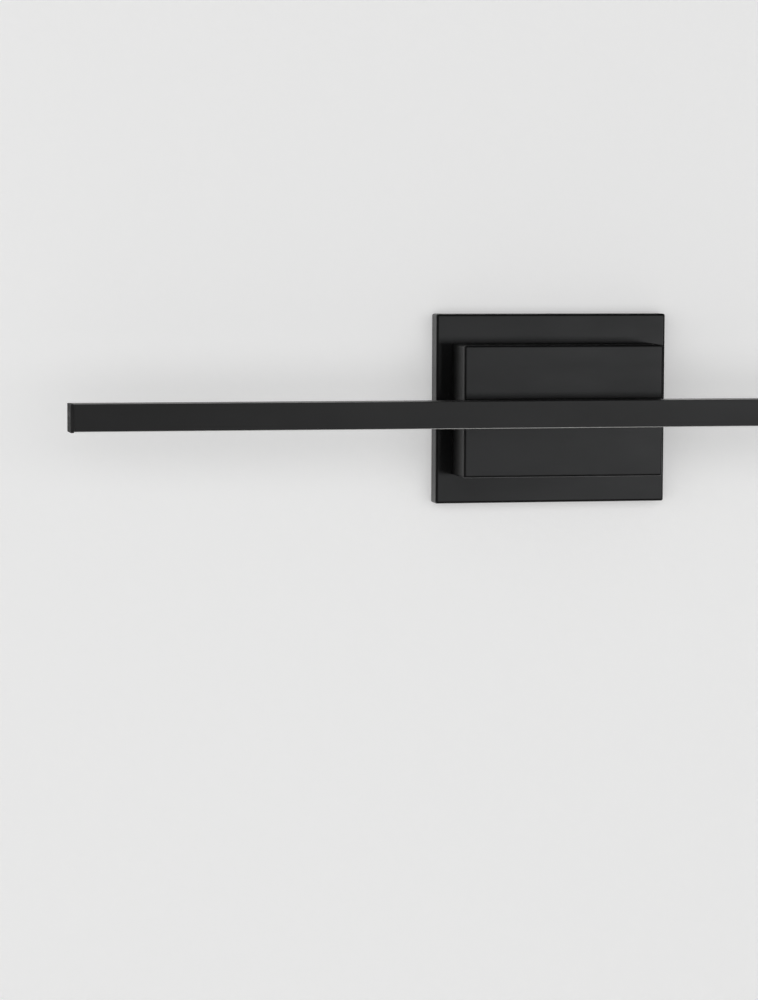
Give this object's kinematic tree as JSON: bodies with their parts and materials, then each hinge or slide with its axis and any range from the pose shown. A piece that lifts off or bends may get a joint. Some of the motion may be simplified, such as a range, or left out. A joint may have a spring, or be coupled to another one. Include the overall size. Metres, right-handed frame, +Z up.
{
  "type": "vanity light bar",
  "caption": "Wall-mounted LED vanity light: a slim square bar with a downward lens, held in front of a driver housing on a rectangular back plate.",
  "frame": {"origin": "centre of the mounting bracket's rear face, on the wall", "axes": "+X along the bar, to the right as seen from the room; +Y into the wall; +Z up"},
  "size_m": [0.63, 0.0873, 0.12],
  "materials": {
    "coated_metal": "satin black powder coat",
    "plated_steel": "zinc plate",
    "blackened_steel": "black oxide",
    "green_screw": "green zinc plate",
    "frosted_lens": "opal, satin",
    "board_mask": "white solder mask",
    "thermal_tape": "matt",
    "white_plastic": "moulded",
    "circuit_green": "green solder mask",
    "ferrite": "matt",
    "dark_sleeve": "heat-shrink sleeve",
    "rubber": "matt",
    "tinned_metal": "tin plate",
    "connector_yellow": "moulded",
    "wire_black": "insulation",
    "wire_white": "insulation",
    "wire_green": "insulation",
    "wire_red": "insulation"
  },
  "bodies": {
    "root": {"mounting_bracket": "plated_steel", "box_screw_bottom": "plated_steel", "box_screw_top": "plated_steel", "housing_screw_bottom_left": "plated_steel", "housing_screw_bottom_right": "plated_steel", "housing_screw_top_left": "plated_steel", "housing_screw_top_right": "plated_steel", "driver_screw_left": "plated_steel", "driver_screw_right": "plated_steel", "standoff_screw_left": "plated_steel", "standoff_screw_right": "plated_steel", "square_nut_left": "plated_steel", "square_nut_right": "plated_steel", "ground_screw": "green_screw", "earth_terminal": "tinned_metal", "back_plate": "coated_metal", "driver_housing": "coated_metal", "standoff": "coated_metal", "bar_body": "coated_metal", "end_cap_left": "coated_metal", "end_cap_right": "coated_metal", "plate_set_screw_bottom": "blackened_steel", "plate_set_screw_top": "blackened_steel", "end_cap_screw_left": "blackened_steel", "end_cap_screw_right": "blackened_steel", "plate_grommet": "rubber", "driver_case": "white_plastic", "driver_lid": "white_plastic", "lead_bushing": "white_plastic", "driver_circuit_board": "circuit_green", "driver_transformer": "ferrite", "driver_choke": "ferrite", "driver_capacitor": "dark_sleeve", "live_connector": "connector_yellow", "neutral_connector": "connector_yellow", "earth_connector": "connector_yellow", "live_lead": "wire_black", "negative_lead": "wire_black", "neutral_lead": "wire_white", "board_jumper": "wire_white", "earth_lead": "wire_green", "positive_lead": "wire_red", "lens": "frosted_lens", "led_board_left": "board_mask", "led_board_right": "board_mask", "thermal_tape_left": "thermal_tape", "thermal_tape_right": "thermal_tape"}
  },
  "joints": []
}
